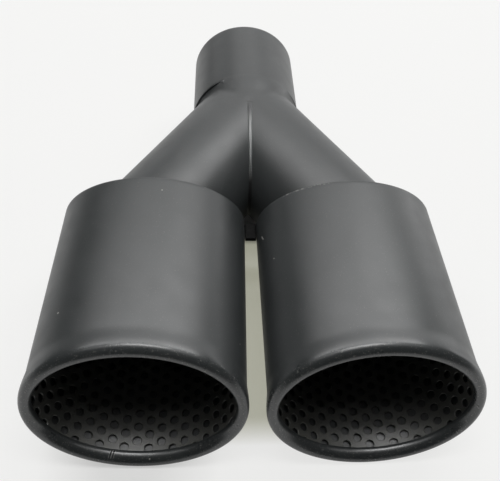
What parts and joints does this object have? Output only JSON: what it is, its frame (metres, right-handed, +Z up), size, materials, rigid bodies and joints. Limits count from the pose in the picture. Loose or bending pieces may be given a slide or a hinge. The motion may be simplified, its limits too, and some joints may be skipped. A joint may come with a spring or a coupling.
{
  "type": "exhaust tip",
  "caption": "Twin oval exhaust tip: a round inlet pipe splits through mitred branch tubes into slash-cut oval shells with rolled lips and perforated liners.",
  "frame": {"origin": "centre of the inlet pipe's open end, on the axis of its bore", "axes": "+Y points out of the inlet pipe, along its bore and the overall length; the mouths face -Y; +Z is up, across the flat height of the ovals; +X is to the right seen from the mouths"},
  "size_m": [0.1926, 0.2467, 0.0686],
  "materials": {
    "black_coat": "satin black heat-resistant coating",
    "liner_coat": "matt black heat-resistant coating",
    "coated_weld": "satin black coating over ground weld"
  },
  "bodies": {
    "root": {"inlet_pipe": "black_coat", "left_branch": "black_coat", "right_branch": "black_coat", "collar_weld_top": "coated_weld", "collar_weld_bottom": "coated_weld", "collar_root": "coated_weld", "saddle_weld": "coated_weld", "left_shell": "black_coat", "right_shell": "black_coat", "left_liner": "liner_coat", "right_liner": "liner_coat", "left_rear_plate": "black_coat", "right_rear_plate": "black_coat", "left_rim_weld": "coated_weld", "right_rim_weld": "coated_weld", "left_branch_weld": "coated_weld", "right_branch_weld": "coated_weld", "shell_spacer": "black_coat"}
  },
  "joints": []
}
